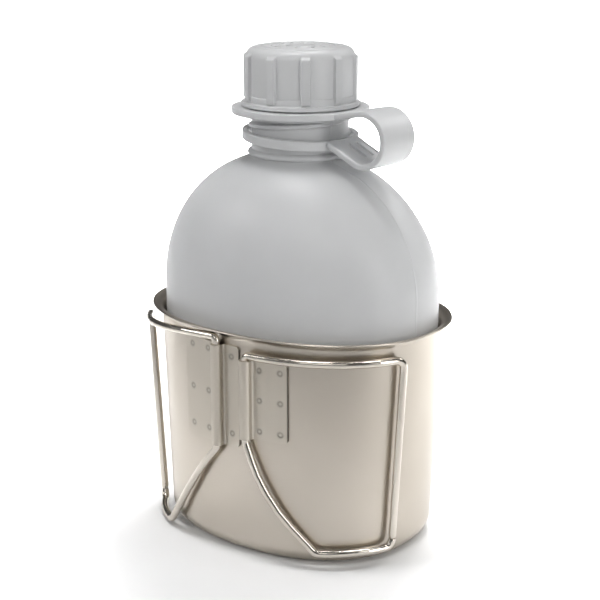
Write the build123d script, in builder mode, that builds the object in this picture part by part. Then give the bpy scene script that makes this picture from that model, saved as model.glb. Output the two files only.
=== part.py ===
"""One-quart plastic canteen nested in its kidney-shaped steel cup with folding wire handles.

Frame: millimetres, +Z up. The origin is on the underside of the cup, on the axis of the
canteen's neck. The convex front with the handles faces -Y and the long axis lies along X.
"""
from build123d import *
from math import asin, atan2, copysign, cos, pi, radians, sin, sqrt, tan
import os

# ---------------------------------------------------------------- cup
cup_half_length = 66.0      # at the foot of the lip
cup_front = 49.1            # neck axis to the convex front
cup_back = 47.2             # neck axis to the back, before the hollow is taken out of it
back_hollow = 11.5          # depth of the hollow in the back
hollow_share = 0.6          # half-width of the hollow, as a share of the half-length
outline_power = 2.23        # 2 is an ellipse; more is squarer
cup_height = 101.0
cup_wall = 0.8
cup_taper = 5.0             # half-length lost between the lip and the base
base_radius = 7.7
lip_radius = 3.5            # the wall turns outwards through this radius
lip_steps = 4               # ruled bands in the lip's flare
lip_flat = 0.7              # and runs level for this much

# ---------------------------------------------------------------- canteen
nest_gap = 1.0              # canteen to the inside of the cup
shoulder_rise = 12.4        # cup's rim to the end of the canteen's straight sides
dome_height = 56.0
dome_top = (11.7, 10.1, 6.4)        # half-length, front and back of the dome's top
dome_power = (1.94, 2.53, 1.72)     # roundness of the dome, in the same order
dome_rises = (0.0, 0.22, 0.42, 0.6, 0.75, 0.86, 0.93, 0.97)
neck_sink = 11.4            # the neck's cylinder starts this far down inside the dome
canteen_wall = 1.8
canteen_foot_radius = 12.0
neck_radius = 21.0
neck_wall = 2.4
neck_height = 43.0          # above the dome
bead_proud = 1.9
bead_sink = 0.2             # the bead's underside lies this far below the dome's top
bead_thickness = 2.8
thread_proud = 1.4
thread_lead = 8.5
thread_drop = 29.0          # mouth down to the lowest turn
thread_turns = 3

# ---------------------------------------------------------------- cap
cap_play = 0.35             # thread to the cap's bore
cap_wall = 1.2
cap_end = 1.6               # thickness of the cap's end
cap_length = 29.5
snap_proud = 0.8            # keeps the strap's ring on the cap
snap_height = 0.65
flange_rise = 4.5           # cap's edge up to its flange
flange_proud = 1.65
flange_thickness = 2.0
band_proud = 0.35           # plain band between the flange and the ribs
band_height = 2.8
cap_top_radius = 3.2        # rounding of the top edge
emblem_height = 0.5
emblem_inset = 7.2
emblem_width = 1.5
gasket_thickness = 1.6
gasket_play = 0.55
rib_count = 10
rib_proud = 0.75
rib_width = 4.2
rib_drop = 2.6              # cap's top down to the ribs
rib_phase = -49.7           # direction of the first rib

# ---------------------------------------------------------------- strap
strap_direction = -6.0      # where the band leaves the neck
ring_gap = 0.35             # the strap's ring to the cap on every side
ring_width = 5.4
strap_width = 21.0
strap_thickness = 2.5
loop_reach = 12.2           # ring's rim out to the loop's centre
loop_drop = 8.2             # ring's middle down to the loop's centre
loop_radius = 10.9
band_root = 1.7             # the band's ends start this far into its rings
neck_ring_play = 1.8
neck_ring_width = 2.5
neck_ring_height = 4.1
neck_ring_rise = 5.5        # bead's top up to the ring's middle
neck_ring_tilt = 3.5
tail_drop = 0.9             # the band meets the neck ring this far below its middle

# ---------------------------------------------------------------- handles and their plates
wire_diameter = 3.4
wire_fit = 0.08             # radial play of a wire in its barrel
sheet = 0.8
sheet_gap = 0.05            # plate to cup wall
left_hinge_x = -7.2
right_hinge_x = 7.9
plate_seam = 3.4            # where the two plates meet
seam_gap = 0.4
left_plate_reach = 20.4     # barrel to the plate's far end
right_plate_reach = 18.3
left_plate_drop = (47.2, 2.1)       # lip's foot down to the plate's lower and upper edge
right_plate_drop = (41.5, 6.6)
weld_radius = 1.25
weld_depth = 0.25
left_weld_rows = (5.5, 22.5, 41.7)  # above the plate's lower edge
centre_weld_rows = (5.8, 40.3)
right_weld_rows = (3.8, 17.6, 31.0)
left_weld_columns = (-16.0, -6.3)   # from the barrel's axis
centre_weld_column = 6.8
right_weld_columns = (5.7, 15.4)
left_clearance = (3.8, 2.2)         # wire centre to cup wall, along the top and the bottom run
right_clearance = (3.4, 3.4)
left_leg_angle = (-21.5, -24.0)     # where on the outline the outer leg's ends stand
right_leg_angle = (-18.6, -19.0)
left_bottom = 2.8           # the left wing is the larger, and the right one folds inside it
right_bottom = 7.6
left_inner_x = 40.4         # the lower corner where the slanting run starts
right_inner_x = 39.0
wing_corner = 4.0           # bend radius at the wing's corners
hinge_bend = 1.9            # and where the wire turns into its barrel
barrel_clearance = 0.5      # top run to the right barrel's end
lip_clearance = 0.6         # top run to the lip, where the left wing nestles under it
corner_drop = (4.1, 4.0)    # lip's foot down to the left and right wing's upper corner
slant_start = 1.5           # barrel's end down to the start of the slanting run
left_slant = ((0.27, 0.23), (0.564, 0.54))      # the run's bends, as shares along and down
right_slant = ((0.19, 0.31), (0.51, 0.64))
left_rest_angle = 2.85      # the left wing stands this far open
butt_gap = 0.4              # between the two ends of a handle's wire

# ---------------------------------------------------------------- sizes that follow
os.makedirs("parts", exist_ok=True)
lip_foot = cup_height - cup_wall - lip_radius
shoulder = cup_height + shoulder_rise
dome_end = shoulder + dome_height
neck_top = dome_end + neck_height
neck_bore = neck_radius - neck_wall
bead_bottom = dome_end - bead_sink
bead_top = bead_bottom + bead_thickness
thread_crest = neck_radius + thread_proud

cap_ceiling = neck_top + gasket_thickness
cap_top = cap_ceiling + cap_end
cap_bottom = cap_top - cap_length
cap_bore = thread_crest + cap_play
cap_skirt = cap_bore + cap_wall
flange_bottom = cap_bottom + flange_rise
flange_top = flange_bottom + flange_thickness
band_top = flange_top + band_height

ring_bottom = cap_bottom + snap_height + ring_gap
ring_top = flange_bottom - ring_gap
ring_middle = (ring_bottom + ring_top) / 2
ring_bore = cap_skirt + ring_gap
ring_outer = ring_bore + ring_width
neck_ring_bore = neck_radius + neck_ring_play
neck_ring_middle = bead_top + neck_ring_rise
loop_centre = (ring_outer + loop_reach, ring_middle - loop_drop)
band_start = (ring_bore + band_root, ring_middle)
band_end = (neck_ring_bore + band_root - neck_ring_width, neck_ring_middle - tail_drop)

barrel_bore = wire_diameter / 2 + wire_fit
barrel_outer = barrel_bore + sheet
left_plate = (left_hinge_x - left_plate_reach, plate_seam - seam_gap / 2)
right_plate = (plate_seam + seam_gap / 2, right_hinge_x + right_plate_reach)
left_plate_height = [lip_foot - drop for drop in left_plate_drop]
right_plate_height = [lip_foot - drop for drop in right_plate_drop]
left_welds = [(left_hinge_x + x, left_plate_height[0] + z)
              for x in left_weld_columns for z in left_weld_rows]
left_welds += [(left_hinge_x + centre_weld_column, left_plate_height[0] + z)
               for z in centre_weld_rows]
right_welds = [(right_hinge_x + x, right_plate_height[0] + z)
               for x in right_weld_columns for z in right_weld_rows]
left_top = (lip_foot + lip_radius - wire_diameter / 2 - lip_clearance, lip_foot - corner_drop[0])
right_top = (right_plate_height[1] + wire_diameter / 2 + barrel_clearance,
             lip_foot - corner_drop[1])


# ---------------------------------------------------------------- shapes shared by several pieces
def outline(half_length, front, back, hollow, power=outline_power, count=36):
    """Points of a rounded outline whose back is hollowed by a cosine-squared dip."""
    points = []
    reach = hollow_share * half_length
    for step in range(count):
        angle = 2 * pi * step / count
        c, s = cos(angle), sin(angle)
        x = copysign(half_length * abs(c) ** (2 / power), c)
        y = copysign((front if s < 0 else back) * abs(s) ** (2 / power), s)
        if s > 0 and abs(x) < reach:
            y -= hollow * cos(pi * x / reach / 2) ** 2
        points.append((x, y))
    return points


def cup_size(z, grow=0.0):
    """Half-length, front and back of the cup's outside at height z, grown evenly."""
    narrower = cup_taper * (lip_foot - z) / lip_foot
    return (cup_half_length - narrower + grow, cup_front + grow, cup_back + grow)


def canteen_size(z, grow=0.0):
    """Half-length, front, back, hollow and power of the canteen's outside at height z."""
    sides = cup_size(min(z, shoulder), -cup_wall - nest_gap)
    rise = max(0.0, (z - shoulder) / dome_height)
    size = []
    for side, top, power in zip(sides, dome_top, dome_power):
        share = (1 - rise ** power) ** (1 / power)
        size.append(top + (side - top) * share + grow)
    power = outline_power + (2 - outline_power) * rise
    return (*size, back_hollow * (1 - rise), power)


def front_point(x, z, off=0.0):
    """A point on the cup's convex front, or off from it."""
    half_length, front, _ = cup_size(z, off)
    return Vector(x, -front * (1 - abs(x / half_length) ** outline_power)
                  ** (1 / outline_power), z)


def side_point(angle, z, off=0.0):
    """The same, by the outline's own angle, for the steep ends of the cup."""
    half_length, front, _ = cup_size(z, off)
    c, s = cos(radians(angle)), sin(radians(angle))
    return Vector(half_length * abs(c) ** (2 / outline_power),
                  copysign(front * abs(s) ** (2 / outline_power), s), z)


def section(z, size, hollow=back_hollow, power=outline_power):
    """A face in the plane at height z."""
    with BuildSketch(Plane.XY.offset(z)) as face:
        with BuildLine():
            Spline(*outline(*size, hollow, power), periodic=True)
        make_face()
    return face.sketch


def lofted(faces, ruled=False):
    """A solid through faces at rising heights."""
    with BuildPart() as body:
        for face in faces:
            add(face)
        loft(ruled=ruled)
    return body.part


def lathe(points):
    """A solid turned about the neck axis from a radius and height profile."""
    with BuildPart() as turned:
        with BuildSketch(Plane.XZ):
            with BuildLine():
                Polyline(*points, close=True)
            make_face()
        revolve(axis=Axis.Z)
    return turned.part


# ---------------------------------------------------------------- cup
def cup_vessel(grow, floor, foot_radius, lip_grow):
    """The cup's outside, or its inside when grown by minus the wall."""
    with BuildPart() as vessel:
        add(lofted([section(z, cup_size(z, grow)) for z in (floor, lip_foot)], ruled=True))
        fillet(vessel.edges().group_by(Axis.Z)[0], foot_radius)
        radius = lip_radius - lip_grow
        turns = [pi / 2 * step / lip_steps for step in range(lip_steps + 1)]
        flare = [section(lip_foot + radius * sin(turn),
                         cup_size(lip_foot, grow + radius * (1 - cos(turn)))) for turn in turns]
        for below, above in zip(flare, flare[1:]):
            add(lofted([below, above], ruled=True))
    return vessel.part


with BuildPart() as cup_shell:
    add(cup_vessel(0.0, 0.0, base_radius, 0.0))
    lip_size = cup_size(lip_foot, lip_radius + lip_flat)
    add(extrude(section(cup_height - cup_wall, lip_size), cup_wall))
    add(cup_vessel(-cup_wall, cup_wall, base_radius - cup_wall, -cup_wall), mode=Mode.SUBTRACT)
cup_shell.part.label = "cup_shell"
export_step(cup_shell.part, "parts/cup_shell.step")


# ---------------------------------------------------------------- canteen
def canteen_form(grow, foot, foot_radius, mouth_radius):
    """The canteen's outside, or its hollow when grown by minus the wall."""
    with BuildPart() as form:
        add(lofted([section(z, canteen_size(z, grow)[:3]) for z in (foot, shoulder)], ruled=True))
        fillet(form.edges().group_by(Axis.Z)[0], foot_radius)
        levels = [(rise, canteen_size(shoulder + rise * dome_height, grow)) for rise in dome_rises]
        add(lofted([section(shoulder + rise * (dome_height + grow), size[:3], size[3], size[4])
                    for rise, size in levels]))
        with BuildSketch(Plane.XY.offset(dome_end - neck_sink)):
            Circle(mouth_radius)
        extrude(amount=neck_top - dome_end + neck_sink)
    return form.part


with BuildPart() as canteen_body:
    add(canteen_form(0.0, cup_wall, canteen_foot_radius, neck_radius))
    root = neck_radius - 1
    add(lathe([(root, bead_bottom), (neck_radius + bead_proud, bead_bottom),
               (neck_radius + bead_proud, bead_top), (root, bead_top)]))
    for turn in range(thread_turns):
        z = neck_top - thread_drop + turn * thread_lead
        add(lathe([(root, z - 1.8), (neck_radius, z - 1.3), (thread_crest, z - 0.4),
                   (thread_crest, z + 0.4), (neck_radius, z + 1.3), (root, z + 1.8)]))
    add(canteen_form(-canteen_wall, cup_wall + canteen_wall, canteen_foot_radius - canteen_wall,
                     neck_bore), mode=Mode.SUBTRACT)
canteen_body.part.label = "canteen_body"
export_step(canteen_body.part, "parts/canteen_body.step")

# ---------------------------------------------------------------- cap and gasket
with BuildPart() as cap_shell:
    add(lathe([(cap_bore, cap_bottom), (cap_skirt + snap_proud, cap_bottom),
               (cap_skirt + snap_proud, cap_bottom + snap_height),
               (cap_skirt, cap_bottom + snap_height), (cap_skirt, flange_bottom),
               (cap_skirt + flange_proud, flange_bottom), (cap_skirt + flange_proud, flange_top),
               (cap_skirt + band_proud, flange_top), (cap_skirt + band_proud, band_top),
               (cap_skirt, band_top), (cap_skirt, cap_top), (0, cap_top), (0, cap_ceiling),
               (cap_bore, cap_ceiling)]))
    fillet(cap_shell.edges().group_by(Axis.Z)[-1], cap_top_radius)
    with BuildSketch(Plane.XY.offset(band_top)):
        with PolarLocations(0, rib_count, start_angle=rib_phase):
            with Locations((cap_skirt + rib_proud - 1, 0)):
                Rectangle(2, rib_width)
    extrude(amount=cap_top - rib_drop - band_top)
    with BuildSketch(Plane.XY.offset(cap_top - 0.1)):
        Circle(cap_skirt - emblem_inset)
        Circle(cap_skirt - emblem_inset - emblem_width, mode=Mode.SUBTRACT)
    extrude(amount=emblem_height + 0.1)
cap_shell.part.label = "cap_shell"
export_step(cap_shell.part, "parts/cap_shell.step")

with BuildPart() as cap_gasket:
    with BuildSketch(Plane.XY.offset(neck_top)):
        Circle(cap_bore - gasket_play)
    extrude(amount=gasket_thickness)
cap_gasket.part.label = "cap_gasket"
export_step(cap_gasket.part, "parts/cap_gasket.step")

# ---------------------------------------------------------------- strap
with BuildPart() as strap_cap_ring:
    with BuildSketch(Plane.XY.offset(ring_bottom)):
        Circle(ring_outer)
        Circle(ring_bore, mode=Mode.SUBTRACT)
    extrude(amount=ring_top - ring_bottom)
strap_cap_ring.part.label = "strap_cap_ring"
export_step(strap_cap_ring.part, "parts/strap_cap_ring.step")


def touch_angle(point, side):
    """Direction, from the loop's centre, of the place where a line from a point touches it."""
    out, up = point[0] - loop_centre[0], point[1] - loop_centre[1]
    return atan2(up, out) - side * (pi / 2 - asin(loop_radius / sqrt(out * out + up * up)))


def on_loop(angle):
    return (loop_centre[0] + loop_radius * cos(angle), loop_centre[1] + loop_radius * sin(angle))


strap_plane = Plane(origin=(0, 0, 0),
                    x_dir=(cos(radians(strap_direction)), sin(radians(strap_direction)), 0),
                    z_dir=(sin(radians(strap_direction)), -cos(radians(strap_direction)), 0))
with BuildPart() as strap_band:
    upper, lower = touch_angle(band_start, 1), touch_angle(band_end, -1)
    with BuildSketch(strap_plane):
        with BuildLine() as middle:
            lead = Line(band_start, on_loop(upper))
            round_end = ThreePointArc(on_loop(upper), on_loop(0), on_loop(lower))
            tail = Line(on_loop(lower), band_end)
        trace(line_width=strap_thickness)
    extrude(amount=strap_width / 2, both=True)
    ring_plane = Plane(strap_plane.location * Location((0, neck_ring_middle, 0)))
    ring_plane = ring_plane.rotated((0, 0, -neck_ring_tilt))
    ring_plane = Plane(origin=ring_plane.origin, x_dir=ring_plane.x_dir, z_dir=ring_plane.y_dir)
    with BuildSketch(ring_plane):
        Circle(neck_ring_bore + neck_ring_width)
    extrude(amount=neck_ring_height / 2, both=True)
    with BuildSketch(ring_plane):
        Circle(neck_ring_bore)
    extrude(amount=2.5 * neck_ring_height, both=True, mode=Mode.SUBTRACT)
    with BuildSketch(Plane.XY.offset(ring_bottom - strap_thickness)):
        Circle(ring_outer + ring_gap)
    extrude(amount=ring_top - ring_bottom + 3 * strap_thickness, mode=Mode.SUBTRACT)
strap_band.part.label = "strap_band"
export_step(strap_band.part, "parts/strap_band.step")


# ---------------------------------------------------------------- hinge plates
def barrel_axis(x):
    """The upright axis of a barrel that stands on the cup's front."""
    return front_point(x, cup_height / 2) - Vector(0, barrel_outer + sheet_gap, 0)


def plate_face(x_range, z):
    """The plate's thin curved section at height z."""
    low, high = x_range
    stations = [low + (high - low) * step / 4 for step in range(5)]
    inner = [front_point(x, z, sheet_gap) for x in stations]
    outer = [front_point(x, z, sheet_gap + sheet) for x in stations]
    with BuildSketch(Plane.XY.offset(z)) as face:
        with BuildLine():
            Spline(*[(p.X, p.Y) for p in inner])
            Line((inner[-1].X, inner[-1].Y), (outer[-1].X, outer[-1].Y))
            Spline(*[(p.X, p.Y) for p in reversed(outer)])
            Line((outer[0].X, outer[0].Y), (inner[0].X, inner[0].Y))
        make_face()
    return face.sketch


def hinge_plate(x_range, heights, hinge_x, welds):
    """A welded plate with the barrel that is rolled in it round the handle's wire."""
    axis = barrel_axis(hinge_x)
    with BuildPart() as plate:
        add(lofted([plate_face(x_range, z) for z in heights], ruled=True))
        with BuildSketch(Plane.XY.offset(heights[0])):
            with Locations((axis.X, axis.Y)):
                Circle(barrel_outer)
        extrude(amount=heights[1] - heights[0])
        with BuildSketch(Plane.XY.offset(heights[0])):
            with Locations((axis.X, axis.Y)):
                Circle(barrel_bore)
        extrude(amount=heights[1] - heights[0], mode=Mode.SUBTRACT)
        ball = (weld_radius ** 2 + weld_depth ** 2) / (2 * weld_depth)
        for x, z in welds:
            with Locations(front_point(x, z, sheet_gap + sheet - weld_depth + ball)):
                Sphere(ball, mode=Mode.SUBTRACT)
    return plate.part


with BuildPart() as left_hinge_plate:
    add(hinge_plate(left_plate, left_plate_height, left_hinge_x, left_welds))
left_hinge_plate.part.label = "left_hinge_plate"
export_step(left_hinge_plate.part, "parts/left_hinge_plate.step")

with BuildPart() as right_hinge_plate:
    add(hinge_plate(right_plate, right_plate_height, right_hinge_x, right_welds))
right_hinge_plate.part.label = "right_hinge_plate"
export_step(right_hinge_plate.part, "parts/right_hinge_plate.step")


# ---------------------------------------------------------------- handles
def bent_wire(points, radii):
    """A round wire of straight runs with a tangent arc at each inner point."""
    with BuildPart() as wire:
        with BuildLine() as path:
            start = points[0]
            for before, corner, after, radius in zip(points, points[1:], points[2:], radii):
                back, ahead = (before - corner).normalized(), (after - corner).normalized()
                half = radians(back.get_angle(ahead)) / 2
                reach = radius / tan(half)
                enter, leave = corner + back * reach, corner + ahead * reach
                bisector = (back + ahead).normalized()
                middle = corner + bisector * (radius / sin(half) - radius)
                Line(start, enter)
                ThreePointArc(enter, middle, leave)
                start = leave
            Line(start, points[-1])
        with BuildSketch(Plane(origin=path.line @ 0, z_dir=path.line % 0)):
            Circle(wire_diameter / 2)
        sweep(path=path.line)
    return wire.part


def wide_radius(before, corner, after):
    """The widest arc that leaves a little of both runs straight."""
    run = min((before - corner).length, (after - corner).length)
    half = radians((before - corner).get_angle(after - corner)) / 2
    return 0.45 * run * tan(half)


def wing(hinge_x, plate_bottom, top, bottom, inner_x, clearance, leg_angle, bends):
    """One wing, drawn on the +X side: up the outer leg, along the top, down the barrel and back."""
    axis = barrel_axis(hinge_x)
    leg_top = side_point(leg_angle[0], top[1], clearance[0])
    leg_foot = side_point(leg_angle[1], bottom, clearance[1])
    up = (leg_top - leg_foot).normalized()
    split = leg_foot + up * (wing_corner + butt_gap)
    along_top = [side_point(angle, top[1] + (top[0] - top[1]) * share, clearance[0])
                 for angle, share in ((leg_angle[0] - 12, 0.1), (-45, 0.3), (-58, 0.6), (-71, 0.9))]
    lower = [side_point(angle, bottom, clearance[1]) for angle in (leg_angle[1] - 12, -46)]
    inner = front_point(inner_x, bottom, clearance[1])
    barrel_foot = Vector(axis.X, axis.Y, plate_bottom - slant_start)
    slant = [front_point(axis.X + (inner_x - axis.X) * along,
                         barrel_foot.Z + (bottom - barrel_foot.Z) * down, clearance[1])
             for along, down in bends]
    points = [split, leg_top, *along_top, Vector(axis.X, axis.Y, top[0]), barrel_foot, *slant,
              inner, *reversed(lower), leg_foot, leg_foot + up * wing_corner]
    sharp = {1: wing_corner, len(along_top) + 2: hinge_bend, len(points) - 2: wing_corner,
             len(along_top) + 3: hinge_bend * 2, points.index(inner): wing_corner}
    radii = [sharp.get(i, wide_radius(*points[i - 1:i + 2])) for i in range(1, len(points) - 1)]
    return bent_wire(points, radii)


with BuildPart() as right_handle:
    add(wing(right_hinge_x, right_plate_height[0], right_top, right_bottom, right_inner_x,
             right_clearance, right_leg_angle, right_slant))
right_handle.part.label = "right_handle"
export_step(right_handle.part, "parts/right_handle.step")

left_axis = Axis(barrel_axis(left_hinge_x), (0, 0, 1))
left_wing = mirror(wing(-left_hinge_x, left_plate_height[0], left_top, left_bottom, left_inner_x,
                        left_clearance, left_leg_angle, left_slant), about=Plane.YZ)
with BuildPart() as left_handle:
    add(left_wing.rotate(left_axis, left_rest_angle))
left_handle.part.label = "left_handle"
export_step(left_handle.part, "parts/left_handle.step")
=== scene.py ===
from math import radians

import bpy
import numpy as np
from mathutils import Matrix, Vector


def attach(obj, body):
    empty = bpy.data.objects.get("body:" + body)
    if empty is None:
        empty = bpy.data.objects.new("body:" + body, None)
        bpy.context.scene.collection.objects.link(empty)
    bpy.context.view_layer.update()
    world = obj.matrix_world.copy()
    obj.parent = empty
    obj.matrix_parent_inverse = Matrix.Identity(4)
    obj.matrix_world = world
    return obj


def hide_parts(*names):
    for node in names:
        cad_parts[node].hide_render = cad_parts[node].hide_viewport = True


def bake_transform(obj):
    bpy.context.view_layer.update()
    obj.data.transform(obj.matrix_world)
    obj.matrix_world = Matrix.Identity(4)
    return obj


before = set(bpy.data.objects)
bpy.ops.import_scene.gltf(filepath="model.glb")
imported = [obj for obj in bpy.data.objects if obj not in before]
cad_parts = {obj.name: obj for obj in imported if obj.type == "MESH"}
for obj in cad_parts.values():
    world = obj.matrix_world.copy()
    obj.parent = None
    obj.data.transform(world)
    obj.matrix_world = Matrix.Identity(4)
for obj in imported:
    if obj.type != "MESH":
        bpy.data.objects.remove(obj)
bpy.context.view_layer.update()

# ---------------------------------------------------------------- sizes, in millimetres
CUP = dict(half_length=66.0, front=49.1, back=47.2, hollow=11.5, share=0.6, power=2.23)
CUP_WALL, CUP_TAPER, BASE_RADIUS = 0.8, 5.0, 7.7
LIP_FOOT, LIP_RADIUS, LIP_FLAT = 96.7, 3.5, 0.7
NEST_GAP, CANTEEN_WALL, CANTEEN_FOOT = 1.0, 1.8, 12.0
SHOULDER, DOME = 113.4, 56.0
DOME_TOP, DOME_POWER = (11.7, 10.1, 6.4), (1.94, 2.53, 1.72)
NECK_RADIUS, NECK_BORE, NECK_TOP = 21.0, 18.6, 212.4
THREAD_CREST, THREAD_LEAD, THREAD_START, THREAD_END = 22.4, 8.5, 177.1, 207.0
BEAD_RADIUS, BEAD_HEIGHT = 22.9, (169.2, 172.0)
DOME_SAMPLED_TO, NECK_SAMPLED_FROM, MOUTH_ROUND = 163.5, 173.0, 0.5
CAP_SKIRT, CAP_REACH, CAP_MIDDLE = 23.45, 24.73, 24.0
CAP_TOP, CAP_UNDER, CAP_SHOULDER = 215.6, 214.0, 4.4
RIBS, FIRST_RIB = 10, radians(-49.7)
STRAP_WAY = radians(-6.0)
LOOP_CENTRE, LOOP_RADIUS = np.array([41.9, 180.5]), 10.9
WIRE, WIRE_PLAY, SHEET, SHEET_GAP = 1.7, 0.08, 0.8, 0.05
LEFT_HINGE, RIGHT_HINGE = -7.2, 7.9
HINGE_LEVEL = 50.5          # the height whose wall the barrels' upright axes stand off
OFF_WALL = np.array([0.0, -1.0])
LEFT_PLATE = dict(span=(-27.6, 3.2), heights=(49.5, 94.6))
RIGHT_PLATE = dict(span=(3.6, 26.2), heights=(55.2, 90.1))
LEFT_WELDS = [(x, z) for x in (-23.2, -13.5) for z in (55.0, 72.0, 91.2)] + [(-0.4, 55.3), (-0.4, 89.8)]
RIGHT_WELDS = [(x, z) for x in (13.6, 23.3) for z in (59.0, 72.8, 86.2)]
LEFT_WING = dict(top=(97.9, 92.6), bottom=2.8, inner_x=40.4, reach=(3.8, 2.4), leg=(-21.5, -24.0),
                 bends=((0.27, 0.23), (0.564, 0.54)))
RIGHT_WING = dict(top=(92.3, 92.7), bottom=7.6, inner_x=39.0, reach=(3.4, 3.4), leg=(-18.6, -19.0),
                  bends=((0.19, 0.31), (0.51, 0.64)))
LEFT_OPEN = 2.85            # degrees that the left wing stands open at rest
TURN = 2 * np.pi


# ---------------------------------------------------------------- meshes from grids
def skin(name, grid, around=True, along=False, ends=(None, None), sharp=38):
    """Quads between neighbouring rows and columns of a grid of points in millimetres.

    around joins the last column to the first and along the last row to the first. An end is
    closed with a "fan" about the mean of its row, or with a "ladder" across a row that is
    symmetrical about its last column but one. Faces are turned so that the volume they
    enclose, a sum of triple products over their triangles, is positive.
    """
    rows, columns = grid.shape[:2]
    points = grid.reshape(-1, 3)
    at = np.arange(rows * columns).reshape(rows, columns)
    if around:
        at = np.hstack([at, at[:, :1]])
    if along:
        at = np.vstack([at, at[:1]])
    quads = np.stack([at[:-1, :-1], at[:-1, 1:], at[1:, 1:], at[1:, :-1]], -1).reshape(-1, 4)
    fans = []
    for asked, row, way in ((ends[0], at[0], 1), (ends[1], at[-1], -1)):
        if asked == "fan":
            centre = np.full(len(row) - 1, len(points))
            points = np.vstack([points, points[row[:-1]].mean(0)])
            fans.append(np.stack([centre, row[1:], row[:-1]][::way], -1))
        if asked == "ladder":
            step = np.arange(columns // 2 + 1)
            up, down = row[(columns - 2 + step) % columns], row[(columns - 2 - step) % columns]
            fans.append(np.stack([up[2:], up[1:-1], down[1:-1]][::way], -1))
            fans.append(np.stack([up[1:-1], down[:-2], down[1:-1]][::way], -1))
    corners = points[quads]
    volume = np.einsum("ij,ij->i", corners[:, 0], np.cross(corners[:, 1], corners[:, 2])).sum()
    volume += np.einsum("ij,ij->i", corners[:, 0], np.cross(corners[:, 2], corners[:, 3])).sum()
    for fan in fans:
        corners = points[fan]
        volume += np.einsum("ij,ij->i", corners[:, 0], np.cross(corners[:, 1], corners[:, 2])).sum()
    faces = quads.tolist() + [face for fan in fans for face in fan.tolist()]
    if volume < 0:
        faces = [face[::-1] for face in faces]
    mesh = bpy.data.meshes.new(name)
    mesh.from_pydata((points * 0.001).tolist(), [], faces)
    mesh.shade_smooth()
    mesh.set_sharp_from_angle(angle=radians(sharp))
    piece = bpy.data.objects.new(name, mesh)
    bpy.context.scene.collection.objects.link(piece)
    return piece


def place(piece, body, material, slot, *nodes):
    """The piece rides on a body, takes a material and stands for CAD nodes."""
    piece.data.materials.append(material)
    if isinstance(body, str):
        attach(piece, body)
    if nodes:
        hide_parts(*nodes)


def store(piece, name, values):
    """A number for each point, read by the piece's material."""
    attribute = piece.data.attributes.new(name, "FLOAT", "POINT")
    attribute.data.foreach_set("value", np.ravel(values).astype(np.float32))


def smoothstep(low, high, value):
    """3t^2 - 2t^3 of where the value lies between low and high."""
    t = np.clip((value - low) / (high - low), 0, 1)
    return t * t * (3 - 2 * t)


def arc(centre, radius, start, stop, count):
    """Points of a circle's arc in a plane, by angle in degrees."""
    turn = np.radians(np.linspace(start, stop, count))
    return np.column_stack([centre[0] + radius * np.cos(turn), centre[1] + radius * np.sin(turn)])


def kidney(turn, half_length, front, back, hollow, power):
    """A superellipse by polar angle, with its back hollowed.

    radius = (|cos/a|^p + |sin/b|^p)^(-1/p), where b is the front's or the back's depth; then y
    loses hollow * cos^2(pi x / 2 reach) over the middle of the back.
    """
    c, s = np.cos(turn), np.sin(turn)
    depth = np.where(s < 0, front, back)
    radius = (np.abs(c / half_length) ** power + np.abs(s / depth) ** power) ** (-1 / power)
    x, y = radius * c, radius * s
    reach = CUP["share"] * half_length
    dip = hollow * np.cos(np.pi * np.clip(x / reach, -1, 1) / 2) ** 2
    return x, y - np.where(s > 0, dip, 0)


def cup_sides(height, grow):
    """Half-length, front and back of the cup's outside, with its taper in length."""
    narrower = CUP_TAPER * (LIP_FOOT - np.minimum(height, LIP_FOOT)) / LIP_FOOT
    return CUP["half_length"] - narrower + grow, CUP["front"] + grow, CUP["back"] + grow


# ---------------------------------------------------------------- cup
def cup_grid():
    """Profile stations of growth, height and scale, each carried round the cup's outline.

    Bottom, foot arc, tapered wall, lip arc, rolled edge, then the same back down the inside.
    """
    def half(grow, floor, foot, lip):
        turn = np.linspace(0, np.pi / 2, 13)
        flat = np.column_stack([np.full(9, grow - foot), np.full(9, floor), np.linspace(0.06, 1, 9)])
        bend = np.column_stack([grow - foot * (1 - np.sin(turn)), floor + foot * (1 - np.cos(turn)),
                                np.ones(13)])
        heights = np.linspace(floor + foot, LIP_FOOT, 26)[1:]
        wall = np.column_stack([np.full(25, grow), heights, np.ones(25)])
        flare = np.column_stack([grow + lip * (1 - np.cos(turn[1:])), LIP_FOOT + lip * np.sin(turn[1:]),
                                 np.ones(12)])
        return np.vstack([flat, bend[1:], wall, flare])

    outer = half(0.0, 0.0, BASE_RADIUS, LIP_RADIUS)
    inner = half(-CUP_WALL, CUP_WALL, BASE_RADIUS - CUP_WALL, LIP_RADIUS + CUP_WALL)
    edge_centre = (LIP_RADIUS + LIP_FLAT - CUP_WALL / 2 - 0.04, LIP_FOOT + LIP_RADIUS + CUP_WALL / 2)
    edge = arc(edge_centre, CUP_WALL / 2, -90, 90, 9)
    edge = np.column_stack([edge, np.ones(9)])
    stations = np.vstack([outer, edge, inner[::-1]])
    grow, height, scale = (stations[:, i, None] for i in range(3))
    turn = np.linspace(0, TURN, 420, endpoint=False)[None, :]
    sides = cup_sides(height, grow)
    x, y = kidney(turn, *sides, CUP["hollow"], CUP["power"])
    return np.stack([x * scale, y * scale, height + 0 * x], -1)


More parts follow.
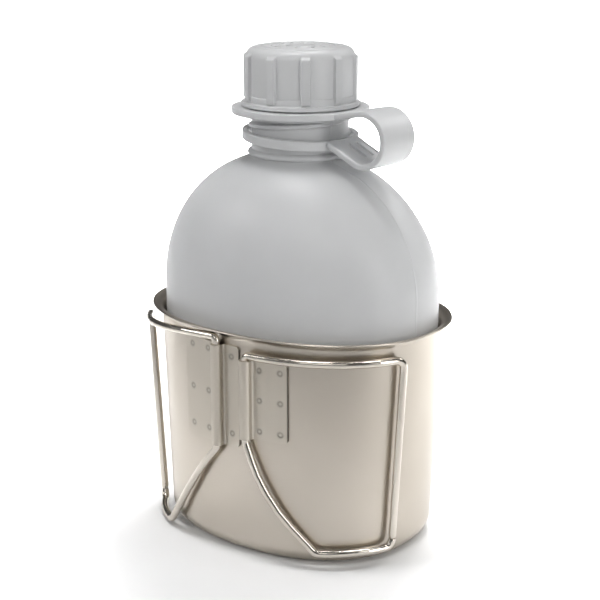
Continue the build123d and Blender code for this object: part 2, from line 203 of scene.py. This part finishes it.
# ---------------------------------------------------------------- canteen
def canteen_point(turn, height, grow):
    """Outline at a height: the cup's inside less the nesting gap, then a dome that narrows to
    the neck as top + (side - top) * (1 - rise^p)^(1/p), and a neck joined to it by the smooth
    maximum (a + b + sqrt((a - b)^2 + k^2)) / 2 of the two radii."""
    sides = cup_sides(np.minimum(height, SHOULDER), -CUP_WALL - NEST_GAP)
    rise = np.clip((height - SHOULDER) / DOME, 0, 1)
    sizes = [top + (side - top) * (1 - rise ** power) ** (1 / power) + grow
             for side, top, power in zip(sides, DOME_TOP, DOME_POWER)]
    power = CUP["power"] + (2 - CUP["power"]) * rise
    x, y = kidney(turn, *sizes, CUP["hollow"] * (1 - rise), power)
    radius = np.hypot(x, y)
    fade = smoothstep(0.75, 0.9, rise)
    neck = (NECK_RADIUS if grow == 0 else NECK_BORE) * fade
    body = np.where(height > SHOULDER + DOME - 0.01, 0, radius)
    joined = (body + neck + np.sqrt((body - neck) ** 2 + 9 * fade)) / 2
    joined = joined + (np.maximum(body, neck) - joined) * smoothstep(4, 9, np.abs(body - neck))
    share = np.where(fade > 0, joined / np.maximum(radius, 1e-6), 1)
    return x * share, y * share


def thread(turn, height):
    """A ridge along a right-hand helix: how far a point lies from it along the axis, by its angle
    and height, is folded into one lead and passed through a flat-topped bump that fades at both
    ends of the thread."""
    off = (height - THREAD_START - THREAD_LEAD * turn / TURN) / THREAD_LEAD
    off = np.abs(off - np.round(off)) * THREAD_LEAD
    bump = 1 - smoothstep(0.55, 1.5, off)
    ends = smoothstep(0, 2.5, height - THREAD_START) * smoothstep(0, 2.5, THREAD_END - height)
    return (THREAD_CREST - NECK_RADIUS) * bump * ends


def canteen_grid():
    """Stations up the outside, over the mouth and down the inside, each carried round."""
    turn = np.linspace(0, TURN, 360, endpoint=False)[None, :]
    mouth = NECK_TOP - MOUTH_ROUND

    def rows(grow, foot, floor, thin):
        bend = np.linspace(0, np.pi / 2, 13)
        flat = [(grow - foot, floor, scale) for scale in np.linspace(0.06, 1, 8)]
        curve = [(grow - foot * (1 - np.sin(t)), floor + foot * (1 - np.cos(t)), 1) for t in bend[1:]]
        heights = np.concatenate([np.linspace(floor + foot, SHOULDER, 22)[1:],
                                  SHOULDER + DOME * np.sin(np.linspace(0, 1, 44)[1:] * 1.1),
                                  np.linspace(DOME_SAMPLED_TO, NECK_SAMPLED_FROM, thin)[1:],
                                  np.linspace(NECK_SAMPLED_FROM, mouth, thin * 4)[1:]])
        return np.array(flat + curve + [(grow, h, 1) for h in heights])

    grids = []
    for grow, foot, floor, thin in (
            (0.0, CANTEEN_FOOT, CUP_WALL, 36),
            (-CANTEEN_WALL, CANTEEN_FOOT - CANTEEN_WALL, CUP_WALL + CANTEEN_WALL, 8)):
        stations = rows(grow, foot, floor, thin)
        grow_at, height, scale = (stations[:, i, None] for i in range(3))
        foot_rows = stations[:, 1] < floor + foot + 0.001
        x, y = canteen_point(turn, height, grow)
        sides = cup_sides(height, -CUP_WALL - NEST_GAP + grow_at)
        kx, ky = kidney(turn, *sides, CUP["hollow"], CUP["power"])
        x = np.where(foot_rows[:, None], kx * scale, x)
        y = np.where(foot_rows[:, None], ky * scale, y)
        if grow == 0:
            middle = sum(BEAD_HEIGHT) / 2
            half_height = (BEAD_HEIGHT[1] - BEAD_HEIGHT[0]) / 2
            bead = np.sqrt(np.clip(1 - ((height - middle) / half_height) ** 2, 0, 1))
            proud = (BEAD_RADIUS - NECK_RADIUS) * bead + thread(turn, height)
            radius = np.maximum(np.hypot(x, y), 1)
            lift = np.where(height > BEAD_HEIGHT[0] - 0.5, np.maximum(NECK_RADIUS + proud - radius, 0), 0)
            x, y = x * (1 + lift / radius), y * (1 + lift / radius)
        grids.append(np.stack([x, y, height + 0 * x], -1))
    half_wall = (NECK_RADIUS - NECK_BORE) / 2
    lip = arc((NECK_BORE + half_wall, mouth), half_wall, 0, 180, 11)
    lip[:, 1] = mouth + (lip[:, 1] - mouth) * MOUTH_ROUND / half_wall
    over = np.stack([lip[:, :1] * np.cos(turn), lip[:, :1] * np.sin(turn), lip[:, 1:] + 0 * turn], -1)
    return np.concatenate([grids[0], over[1:-1], grids[1][::-1]])


# ---------------------------------------------------------------- cap
def cap_grid():
    """A turned profile whose skirt swells by a rounded bar at each rib.

    rib = product of a step across the bar's width, on arc length, and steps at its two ends.
    """
    outer = np.vstack([
        [(24.55, 186.1), (24.75, 186.25), (24.75, 186.6), (24.5, 186.75), (23.95, 186.85)],
        [(23.95, z) for z in (188.0, 190.0, 190.45)], [(24.2, 190.6)],
        arc((25.2, 191.1), 0.4, -60, 60, 6), arc((25.0, 192.2), 0.4, 20, 90, 4),
        [(24.4, 192.65), (24.0, 192.9), (23.85, 193.6), (23.8, 195.0), (23.7, 195.3),
         (CAP_SKIRT, 195.4)],
        [(CAP_SKIRT, z) for z in np.linspace(195.8, CAP_TOP - CAP_SHOULDER, 30)],
        arc((CAP_SKIRT - CAP_SHOULDER, CAP_TOP - CAP_SHOULDER), CAP_SHOULDER, 0, 90, 18)[1:],
        [(radius, CAP_TOP) for radius in np.linspace(18.9, 0.03, 44)]])
    inner = np.vstack([
        [(radius, CAP_UNDER) for radius in np.linspace(0.03, 19.2, 6)],
        arc((19.25, 210.5), 3.5, 90, 0, 8), [(22.75, z) for z in np.linspace(210, 187, 8)],
        [(22.9, 186.3), (23.2, 186.1)]])
    profile = np.vstack([outer, inner])
    turn = np.linspace(0, TURN, 600, endpoint=False)[None, :]
    radius, height = profile[:, :1] + 0 * turn, profile[:, 1:] + 0 * turn
    outside = (np.arange(len(profile)) < len(outer))[:, None]
    off = (turn - FIRST_RIB) / (TURN / RIBS)
    off = np.abs(off - np.round(off)) * TURN / RIBS * CAP_MIDDLE
    bar = 1 - smoothstep(1.75, 2.25, off)
    rib = bar * smoothstep(192.9, 193.7, height) * (1 - smoothstep(211.6, 213.2, height))
    proud = np.maximum(CAP_REACH - radius, 0)
    radius = radius + np.where(outside, proud * rib, 0)
    ring = smoothstep(14.6, 15.1, radius) * (1 - smoothstep(16.5, 17.0, radius))
    tick = (turn / (TURN / 12)) % 1
    tick = smoothstep(0.12, 0.2, tick) * (1 - smoothstep(0.8, 0.88, tick))
    hub = 1 - smoothstep(5.6, 6.1, radius)
    marks = smoothstep(8.6, 9.1, radius) * (1 - smoothstep(12.2, 12.7, radius)) * tick
    top = np.where(outside & (height > CAP_TOP - 0.1), 0.5 * np.maximum(np.maximum(ring, marks), hub), 0)
    return np.stack([radius * np.cos(turn), radius * np.sin(turn), height + top], -1)


# ---------------------------------------------------------------- strap
def collar_grid(inner, outer, low, high, rounding):
    """A ring with a rounded rectangular section, turned about the neck axis."""
    corners = (((outer - rounding, low + rounding), -90), ((outer - rounding, high - rounding), 0),
               ((inner + rounding, high - rounding), 90), ((inner + rounding, low + rounding), 180))
    section = np.vstack([arc(centre, rounding, start, start + 90, 5) for centre, start in corners])
    turn = np.linspace(0, TURN, 240, endpoint=False)[:, None]
    return np.stack([section[:, 0] * np.cos(turn), section[:, 0] * np.sin(turn),
                     section[:, 1] + 0 * turn], -1)


def strap_middle():
    """Centre line of the band, out from the neck and up: a tangent run, a round, a tangent run."""
    def touch(point, side):
        out = np.asarray(point) - LOOP_CENTRE
        return np.arctan2(out[1], out[0]) - side * np.arccos(LOOP_RADIUS / np.hypot(*out))

    first, last = (26.5, 188.7), (23.9, 176.9)
    high, low = touch(first, 1), touch(last, -1)
    bend = np.linspace(high, low, 70)
    round_part = LOOP_CENTRE + LOOP_RADIUS * np.column_stack([np.cos(bend), np.sin(bend)])
    lead = np.linspace(first, round_part[0], 24)[:-1]
    tail = np.linspace(round_part[-1], last, 34)[1:]
    return np.vstack([lead, round_part, tail])


def strap_grid():
    """The band's rounded section carried along its centre line, with two slots sunk in the inner
    face of the lower run, each a rounded trough across its width and at its ends."""
    middle = strap_middle()
    step = np.gradient(middle, axis=0)
    step /= np.hypot(*step.T)[:, None]
    outward = np.column_stack([-step[:, 1], step[:, 0]])
    run = np.concatenate([[0], np.cumsum(np.hypot(*np.diff(middle, axis=0).T))])
    half, thick, edge = 10.5, 1.25, 0.6
    across = np.linspace(-half + edge, half - edge, 121)
    top = np.column_stack([across, np.full(121, thick)])
    right = arc((half - edge, thick - edge), edge, 90, 0, 4)[1:]
    right_low = arc((half - edge, edge - thick), edge, 0, -90, 4)
    bottom = np.column_stack([across[::-1], np.full(121, -thick)])[1:]
    left_low = arc((edge - half, edge - thick), edge, -90, -180, 4)[1:]
    left = arc((edge - half, thick - edge), edge, 180, 90, 4)[:-1]
    section = np.vstack([top, right, right_low, bottom, left_low, left])
    side, proud = section[None, :, 0], section[None, :, 1] + 0 * run[:, None]
    back = run[-1] - run[:, None]
    slots = sum((1 - smoothstep(0.65, 0.95, np.abs(side - place_at))) for place_at in (-0.4, 4.4))
    slots = slots + 0.5 * (1 - smoothstep(0.3, 0.6, np.abs(side - 8.9)))
    slots = slots * smoothstep(3.2, 3.9, back) * (1 - smoothstep(12.9, 13.6, back))
    proud = proud + np.where(proud < -1.2, 1.9 * slots, 0)
    out = middle[:, None, 0] + outward[:, None, 0] * proud
    up = middle[:, None, 1] + outward[:, None, 1] * proud
    c, s = np.cos(STRAP_WAY), np.sin(STRAP_WAY)
    return np.stack([out * c - side * s, out * s + side * c, up], -1)


def tilted(grid, height, degrees, way):
    """The grid leaned about a level line through the neck axis, down towards a direction."""
    lean = np.radians(degrees)
    along = grid[..., 0] * np.cos(way) + grid[..., 1] * np.sin(way)
    up = grid[..., 2] - height
    new_along = along * np.cos(lean) + up * np.sin(lean)
    new_up = up * np.cos(lean) - along * np.sin(lean)
    moved = grid.copy()
    moved[..., 0] += (new_along - along) * np.cos(way)
    moved[..., 1] += (new_along - along) * np.sin(way)
    moved[..., 2] = height + new_up
    return moved


# ---------------------------------------------------------------- hinge plates
def front_at(x, height, off):
    """A point off the cup's convex front: y = -front * (1 - |x / half length|^p)^(1/p)."""
    half_length, front, _ = cup_sides(height, off)
    y = -front * (1 - np.abs(x / half_length) ** CUP["power"]) ** (1 / CUP["power"])
    return np.stack([x + 0 * y, y, height + 0 * y], -1)


def axis_at(hinge_x):
    """The barrel's upright axis, in plan."""
    wall = front_at(np.array(hinge_x), np.array(HINGE_LEVEL), 0.0)[:2]
    return wall + OFF_WALL * (WIRE + WIRE_PLAY + SHEET + SHEET_GAP)


def plate_section(span, hinge_x):
    """Centre line of the bent sheet as distance along X and height above the wall: flat, a small
    fillet, up one side of the wire, over it, down, a fillet and flat again."""
    rise = WIRE + WIRE_PLAY + SHEET + SHEET_GAP
    low = SHEET_GAP + SHEET / 2
    roll = WIRE + WIRE_PLAY + SHEET / 2 - 0.01
    fillet = 1.3
    left_foot = arc((hinge_x - roll - fillet, low + fillet), fillet, -90, 0, 7)
    over = arc((hinge_x, rise), roll, 180, 0, 19)
    right_foot = arc((hinge_x + roll + fillet, low + fillet), fillet, 180, 270, 7)
    line = np.vstack([left_foot, over, right_foot])
    if span[0] < left_foot[0, 0]:
        count = int((left_foot[0, 0] - span[0]) / 0.3)
        line = np.vstack([np.linspace((span[0], low), left_foot[0], count)[:-1], line])
    else:
        line = line[line[:, 0] > span[0]]
    count = max(2, int((span[1] - line[-1, 0]) / 0.3))
    return np.vstack([line, np.linspace(line[-1], (span[1], low), count)[1:]])


def plate_grid(span, heights, hinge_x, welds):
    """The sheet's two faces, half its thickness each side of the centre line, carried up the wall.

    Corners are rounded by pulling a column's ends in along a circle, and each weld is a shallow
    ring trough with a lower middle in the outer face.
    """
    line = plate_section(span, hinge_x)
    along = np.gradient(line, axis=0)
    along /= np.hypot(*along.T)[:, None]
    normal = np.column_stack([-along[:, 1], along[:, 0]])
    half = SHEET / 2
    tip = np.linspace(-90, 90, 5)[1:-1]

    def cap_end(index, way):
        turn = np.radians(tip) * way
        return line[index] + half * 0.98 * (np.outer(np.cos(turn), along[index]) * way
                                           + np.outer(np.sin(turn), normal[index]))

    loop = np.vstack([line + half * normal, cap_end(-1, 1)[::-1], (line - half * normal)[::-1],
                      cap_end(0, -1)[::-1]])
    outer = np.zeros(len(loop), bool)
    outer[:len(line)] = True
    rounding = 1.3
    near = np.clip(rounding - np.minimum(loop[:, 0] - span[0], span[1] - loop[:, 0]), 0, rounding)
    trim = rounding - np.sqrt(rounding ** 2 - near ** 2)
    share = np.linspace(0, 1, 130)[:, None]
    height = heights[0] + trim + (heights[1] - heights[0] - 2 * trim) * share
    x = loop[None, :, 0] + 0 * height
    lift = loop[None, :, 1] + 0 * height
    for weld_x, weld_z in welds:
        off = np.hypot(x - weld_x, height - weld_z)
        mark = 0.16 * np.exp(-((off - 0.95) / 0.27) ** 2) + 0.07 * (1 - smoothstep(0.7, 1.1, off))
        lift = lift - np.where(outer[None, :], mark, 0)
    beside = front_at(x + 0.01, height, 0.0) - front_at(x - 0.01, height, 0.0)
    out = np.stack([beside[..., 1], -beside[..., 0]], -1)
    out /= np.hypot(out[..., 0], out[..., 1])[..., None]
    upright = 1 - smoothstep(3.0, 6.5, np.abs(x - hinge_x))
    centre = axis_at(hinge_x)
    here = front_at(np.array(hinge_x), height[:, :1], 0.0)[..., :2]
    shift = (centre - OFF_WALL * (WIRE + WIRE_PLAY + SHEET + SHEET_GAP) - here) * upright[..., None]
    ahead = (OFF_WALL - out) * upright[..., None] + out
    x = x * (1 - upright) + hinge_x * upright
    base = front_at(x, height, 0.0)
    level = (loop[None, :, 0] - hinge_x)[..., None] * tangent_of(hinge_x) * upright[..., None]
    flat = base[..., :2] + level + ahead * lift[..., None] + shift
    return np.concatenate([flat, height[..., None]], -1)


def plate_weld_rings_and_edge_shade(sheet, span, welds):
    """How dark each point is: dark rings at the welds, and a painted shadow along the sheet's right edge.
    """
    x, height = sheet[..., 0], sheet[..., 2]
    dark = np.zeros(x.shape)
    for weld_x, weld_z in welds:
        off = np.hypot(x - weld_x, height - weld_z)
        dark = np.maximum(dark, 0.45 * np.exp(-((off - 0.95) / 0.5) ** 2))
    # painted shadow: the sheet's right edge face is darkened to stand for the shade in the gap beside it
    return np.maximum(dark, 0.85 * smoothstep(span[1] + 0.02, span[1] + 0.12, x))


def tangent_of(hinge_x):
    """Direction of the wall at a barrel, in plan."""
    level = np.array(HINGE_LEVEL)
    step = front_at(np.array(hinge_x + 0.01), level, 0.0) - front_at(np.array(hinge_x - 0.01), level, 0.0)
    return step[:2] / step[0]


# ---------------------------------------------------------------- handles
def bent_line(points, radii, spacing=0.45):
    """Straight runs joined by tangent arcs, as evenly spaced points with their directions."""
    line = [points[0]]
    for before, corner, after, radius in zip(points, points[1:], points[2:], radii):
        back = (before - corner) / np.linalg.norm(before - corner)
        ahead = (after - corner) / np.linalg.norm(after - corner)
        half = np.arccos(np.clip(back @ ahead, -1, 1)) / 2
        reach = radius / np.tan(half)
        middle = (back + ahead) / np.linalg.norm(back + ahead)
        centre = corner + middle * radius / np.sin(half)
        enter, leave = corner + back * reach, corner + ahead * reach
        a, b = enter - centre, leave - centre
        sweep = np.arccos(np.clip(a @ b / radius ** 2, -1, 1))
        for t in np.linspace(0, 1, max(3, int(sweep / 0.09))):
            line.append(centre + (np.sin((1 - t) * sweep) * a + np.sin(t * sweep) * b) / np.sin(sweep))
    line.append(points[-1])
    line = np.array(line)
    run = np.concatenate([[0], np.cumsum(np.linalg.norm(np.diff(line, axis=0), axis=1))])
    even = np.linspace(0, run[-1], int(run[-1] / spacing))
    return np.column_stack([np.interp(even, run, line[:, i]) for i in range(3)])


def wire_grid(line, radius=WIRE, sides=20):
    """A round section carried along a line by parallel transport, with domed ends."""
    way = np.gradient(line, axis=0)
    way /= np.linalg.norm(way, axis=1)[:, None]
    side = np.cross(way[0], [0.3, 0.5, 0.8])
    frames = []
    for step in way:
        side = side - (side @ step) * step
        side = side / np.linalg.norm(side)
        frames.append(side)
    side = np.array(frames)
    other = np.cross(way, side)
    turn = np.linspace(0, TURN, sides, endpoint=False)
    size = np.ones(len(line))
    rim = np.sqrt(1 - np.array([0.93, 0.75, 0.45]) ** 2)
    size[:3], size[-3:] = 0.75 + 0.25 * rim, (0.75 + 0.25 * rim)[::-1]
    ring = side[:, None] * np.cos(turn)[None, :, None] + other[:, None] * np.sin(turn)[None, :, None]
    return line[:, None] + radius * size[:, None, None] * ring


def side_at(degrees, height, off):
    """A point off the cup's end, by the outline's own angle."""
    half_length, front, _ = cup_sides(height, off)
    c, s = np.cos(np.radians(degrees)), np.sin(np.radians(degrees))
    return np.array([half_length * abs(c) ** (2 / CUP["power"]),
                     -front * abs(s) ** (2 / CUP["power"]), height])


def wing_line(hinge_x, plate_bottom, top, bottom, inner_x, reach, leg, bends):
    """One wing on the +X side: up the outer leg, along the top, down the barrel and back."""
    corner, bend = 4.0, 1.9
    axis = axis_at(hinge_x)
    leg_top, leg_foot = side_at(leg[0], top[1], reach[0]), side_at(leg[1], bottom, reach[1])
    up = (leg_top - leg_foot) / np.linalg.norm(leg_top - leg_foot)
    along_top = [side_at(angle, top[1] + (top[0] - top[1]) * share, reach[0])
                 for angle, share in ((leg[0] - 12, 0.1), (-45, 0.3), (-58, 0.6), (-71, 0.9))]
    lower = [side_at(angle, bottom, reach[1]) for angle in (-46, leg[1] - 12)]
    inner = front_at(np.array(inner_x), np.array(bottom), reach[1])
    foot = plate_bottom - 1.5
    slant = [front_at(axis[0] + (inner_x - axis[0]) * np.array(across),
                      foot + (bottom - foot) * np.array(down), reach[1]) for across, down in bends]
    points = [leg_foot + up * (corner + 0.4), leg_top, *along_top, np.array([*axis, top[0]]),
              np.array([*axis, foot]), *slant, inner, *lower, leg_foot, leg_foot + up * corner]
    fixed = {1: corner, 6: bend, 7: bend * 2, 10: corner, len(points) - 2: corner}
    radii = []
    for i in range(1, len(points) - 1):
        runs = points[i - 1] - points[i], points[i + 1] - points[i]
        lengths = [np.linalg.norm(run) for run in runs]
        half = np.arccos(runs[0] @ runs[1] / lengths[0] / lengths[1]) / 2
        radii.append(fixed.get(i, 0.45 * min(lengths) * np.tan(half)))
    return bent_line(points, radii)


def swung(line, centre, degrees):
    """A line turned about an upright axis."""
    c, s = np.cos(np.radians(degrees)), np.sin(np.radians(degrees))
    x, y = line[:, 0] - centre[0], line[:, 1] - centre[1]
    return np.column_stack([centre[0] + c * x - s * y, centre[1] + s * x + c * y, line[:, 2]])


# ---------------------------------------------------------------- materials
def new_material(name, colour, metal, rough):
    """A principled surface whose constants sit on its own sockets."""
    material = bpy.data.materials.new(name)
    material.use_nodes = True
    shader = material.node_tree.nodes["Principled BSDF"]
    shader.inputs["Base Color"].default_value = (*colour, 1)
    shader.inputs["Metallic"].default_value = metal
    shader.inputs["Roughness"].default_value = rough
    return material, shader


def add_node(material, kind, **inputs):
    node = material.node_tree.nodes.new(kind)
    for socket, value in inputs.items():
        node.inputs[socket.replace("_", " ")].default_value = value
    return node


def noise(material, scale, detail=3.0, stretch=(1, 1, 1)):
    """Noise on Object coordinates, in features per metre, stretched along an axis."""
    links = material.node_tree.links
    place_on = add_node(material, "ShaderNodeTexCoord")
    mapping = add_node(material, "ShaderNodeMapping", Scale=stretch)
    texture = add_node(material, "ShaderNodeTexNoise", Scale=scale, Detail=detail)
    links.new(place_on.outputs["Object"], mapping.inputs["Vector"])
    links.new(mapping.outputs["Vector"], texture.inputs["Vector"])
    return texture.outputs["Fac"]


def spread(material, source, low, high):
    """Maps a noise smoothly onto a range."""
    node = add_node(material, "ShaderNodeMapRange", From_Min=0.2, From_Max=0.8, To_Min=low, To_Max=high)
    node.interpolation_type = "SMOOTHSTEP"
    material.node_tree.links.new(source, node.inputs["Value"])
    return node.outputs["Result"]


def tint(material, shader, source, dark, light):
    """Base colour between two tones by a noise."""
    ramp = add_node(material, "ShaderNodeValToRGB")
    ramp.color_ramp.interpolation = "EASE"
    ramp.color_ramp.elements[0].position = 0.2
    ramp.color_ramp.elements[1].position = 0.8
    ramp.color_ramp.elements[0].color = (*dark, 1)
    ramp.color_ramp.elements[1].color = (*light, 1)
    material.node_tree.links.new(source, ramp.inputs["Fac"])
    material.node_tree.links.new(ramp.outputs["Color"], shader.inputs["Base Color"])


def bumped(material, shader, source, strength, distance):
    bump = add_node(material, "ShaderNodeBump", Strength=strength, Distance=distance)
    material.node_tree.links.new(source, bump.inputs["Height"])
    before = shader.inputs["Normal"].links
    if before:
        material.node_tree.links.new(before[0].from_socket, bump.inputs["Normal"])
    material.node_tree.links.new(bump.outputs["Normal"], shader.inputs["Normal"])


def steel(name, dark, light, rough, mark=None):
    """Satin stainless: slow clouding of tone and roughness, and a dark colour where the piece's
    mark is high, which on the plates is dark weld rings and a painted shadow along a sheet edge."""
    material, shader = new_material(name, light, 1.0, rough[0])
    tint(material, shader, noise(material, 20.0, 2.0), dark, light)
    links = material.node_tree.links
    links.new(spread(material, noise(material, 45.0, 2.0), *rough), shader.inputs["Roughness"])
    if mark is not None:
        attribute = add_node(material, "ShaderNodeAttribute")
        attribute.attribute_name = "mark"
        blend = add_node(material, "ShaderNodeMix")
        blend.data_type = "RGBA"
        links.new(attribute.outputs["Fac"], blend.inputs[0])
        links.new(shader.inputs["Base Color"].links[0].from_socket, blend.inputs[6])
        blend.inputs[7].default_value = (*mark, 1)
        links.new(blend.outputs[2], shader.inputs["Base Color"])
    return material


def plastic(name, dark, light, rough, seam=None):
    """Moulded polyethylene: slight mottling, a soft skin texture and a little depth."""
    material, shader = new_material(name, light, 0.0, rough[0])
    shader.inputs["Subsurface Weight"].default_value = 0.12
    shader.inputs["Subsurface Radius"].default_value = (0.004, 0.004, 0.004)
    shader.inputs["Specular IOR Level"].default_value = 0.42
    tint(material, shader, noise(material, 22.0, 4.0), dark, light)
    links = material.node_tree.links
    links.new(spread(material, noise(material, 70.0, 4.0), *rough), shader.inputs["Roughness"])
    bumped(material, shader, noise(material, 900.0, 3.0), 0.05, 0.0003)
    if seam is not None:
        coordinates = add_node(material, "ShaderNodeTexCoord")
        parts = add_node(material, "ShaderNodeSeparateXYZ")
        links.new(coordinates.outputs["Object"], parts.inputs["Vector"])
        off = add_node(material, "ShaderNodeMath")
        off.operation = "ADD"
        off.inputs[1].default_value = -seam
        links.new(parts.outputs["Y"], off.inputs[0])
        size = add_node(material, "ShaderNodeMath")
        size.operation = "ABSOLUTE"
        links.new(off.outputs["Value"], size.inputs[0])
        ridge = add_node(material, "ShaderNodeMapRange", From_Min=0.0, From_Max=0.0007, To_Min=1.0,
                         To_Max=0.0)
        ridge.interpolation_type = "SMOOTHSTEP"
        links.new(size.outputs["Value"], ridge.inputs["Value"])
        bumped(material, shader, ridge.outputs["Result"], 0.6, 0.0003)
    return material


cup_steel = steel("satin_steel", (0.50, 0.455, 0.395), (0.54, 0.495, 0.435), (0.285, 0.335))
# the mark colour darkens the weld rings and paints a shadow on the plates' right edges
plate_steel = steel("plate_steel", (0.53, 0.488, 0.424), (0.57, 0.528, 0.464), (0.44, 0.50),
                    mark=(0.12, 0.105, 0.09))
wire_steel = steel("polished_wire", (0.60, 0.555, 0.49), (0.66, 0.615, 0.55), (0.19, 0.25))
canteen_plastic = plastic("canteen_plastic", (0.555, 0.56, 0.565), (0.605, 0.61, 0.615), (0.36, 0.44),
                          seam=-0.0065)
cap_plastic = plastic("cap_plastic", (0.555, 0.56, 0.565), (0.61, 0.615, 0.62), (0.34, 0.42))
strap_plastic = plastic("strap_plastic", (0.575, 0.58, 0.585), (0.63, 0.635, 0.64), (0.32, 0.40))
rubber, rubber_shader = new_material("gasket_rubber", (0.03, 0.03, 0.03), 0.0, 0.75)
tint(rubber, rubber_shader, noise(rubber, 120.0), (0.02, 0.02, 0.02), (0.04, 0.04, 0.04))

# ---------------------------------------------------------------- pieces
place(skin("cup", cup_grid(), ends=("fan", "fan")), "cup", cup_steel, "cup_steel", "cup_shell")
place(skin("canteen", canteen_grid(), ends=("fan", "fan")), "canteen", canteen_plastic,
      "canteen_plastic", "canteen_body")
place(skin("cap", cap_grid(), along=True), "cap", cap_plastic, "cap_plastic",
      "cap_shell")
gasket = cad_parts["cap_gasket"]
gasket.data.materials.clear()
gasket.data.materials.append(rubber)

collar = skin("strap_collar", collar_grid(24.3, 29.7, 187.5, 190.25, 0.35), along=True)
place(collar, "cap_ring", strap_plastic, "strap_plastic", "strap_cap_ring")
ring = skin("strap_neck_ring", tilted(collar_grid(22.8, 25.3, 175.45, 179.55, 0.6), 177.5, 3.5,
                                      STRAP_WAY), along=True)
place(ring, "canteen", strap_plastic, "strap_plastic")
band = skin("strap_band", strap_grid(), ends=("fan", "fan"))
place(band, None, strap_plastic, "strap_plastic", "strap_band")
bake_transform(band)

for name, size, hinge_x, welds in (("left", LEFT_PLATE, LEFT_HINGE, LEFT_WELDS),
                                   ("right", RIGHT_PLATE, RIGHT_HINGE, RIGHT_WELDS)):
    sheet = plate_grid(hinge_x=hinge_x, welds=welds, **size)
    plate = skin(name + "_plate", sheet, ends=("ladder", "ladder"))
    # the mark holds the dark weld rings and a painted shadow on the sheet's right edge
    store(plate, "mark", plate_weld_rings_and_edge_shade(sheet, size["span"], welds))
    place(plate, "cup", plate_steel, "plate_steel", name + "_hinge_plate")
right_line = wing_line(RIGHT_HINGE, RIGHT_PLATE["heights"][0], **RIGHT_WING)
place(skin("right_wing", wire_grid(right_line), ends=("fan", "fan")), "right_wing", wire_steel,
      "wire_steel", "right_handle")
left_line = wing_line(-LEFT_HINGE, LEFT_PLATE["heights"][0], **LEFT_WING) * [-1, 1, 1]
left_line = swung(left_line, axis_at(LEFT_HINGE), LEFT_OPEN)
place(skin("left_wing", wire_grid(left_line), ends=("fan", "fan")), "left_wing", wire_steel,
      "wire_steel", "left_handle")

# ---------------------------------------------------------------- stage, light and camera
floor_mesh = bpy.data.meshes.new("floor")
floor_mesh.from_pydata([(-6, -6, 0), (6, -6, 0), (6, 6, 0), (-6, 6, 0)], [], [(0, 1, 2, 3)])
floor = bpy.data.objects.new("floor", floor_mesh)
bpy.context.scene.collection.objects.link(floor)
floor_paint, _ = new_material("floor_paint", (0.86, 0.86, 0.86), 0.0, 0.8)
floor.data.materials.append(floor_paint)

world = bpy.data.worlds.new("studio")
world.use_nodes = True
world.node_tree.nodes["Background"].inputs["Color"].default_value = (1, 1, 1, 1)
world.node_tree.nodes["Background"].inputs["Strength"].default_value = 0.08
bpy.context.scene.world = world


def softbox(name, position, target, size, power, spread=180):
    """A rectangular area light; a spread under 180 degrees makes a soft pool on the floor."""
    light = bpy.data.lights.new(name, "AREA")
    light.shape = "RECTANGLE"
    light.size, light.size_y = size
    light.energy = power
    light.spread = radians(spread)
    lamp = bpy.data.objects.new(name, light)
    lamp.location = position
    lamp.rotation_euler = (Vector(target) - Vector(position)).to_track_quat("-Z", "Y").to_euler()
    bpy.context.scene.collection.objects.link(lamp)


softbox("right", (0.85, -0.15, 0.30), (0, 0, 0.10), (0.25, 0.7), 2.86)
softbox("left_front", (-0.70, -0.70, 0.60), (0, 0, 0.12), (0.5, 0.5), 3.17)
softbox("front", (0.45, -1.35, 0.95), (0, 0, 0.14), (0.9, 0.6), 2.98)
softbox("left_pool", (-0.08, -0.15, 0.90), (-0.08, -0.15, 0), (0.2, 0.2), 0.286, 40)
softbox("right_pool", (0.30, 0.05, 0.80), (0.30, 0.05, 0), (0.2, 0.2), 0.261, 50)
softbox("back_right", (0.40, 1.00, 0.70), (0.32, 0.80, 0), (0.6, 0.6), 4.99, 100)
softbox("back_left", (-0.35, 0.80, 1.20), (-0.35, 0.75, 0), (0.8, 0.8), 26.8, 60)
softbox("front_floor", (0.90, -2.20, 1.30), (1.00, -2.60, 0), (2.6, 1.6), 60.0, 110)
softbox("far_floor", (-1.50, 2.10, 1.30), (-1.60, 2.30, 0), (2.4, 1.6), 65.0, 130)
bpy.context.scene.view_settings.view_transform = "Standard"

camera_data = bpy.data.cameras.new("camera")
camera_data.lens = 86.909
camera_data.sensor_width = 36.0
camera = bpy.data.objects.new("camera", camera_data)
camera.location = (0.35955, -0.50780, 0.27850)
aim = Vector((-0.000252, 0, 0.103178))
camera.rotation_euler = (aim - camera.location).to_track_quat("-Z", "Y").to_euler()
bpy.context.scene.collection.objects.link(camera)
bpy.context.scene.camera = camera
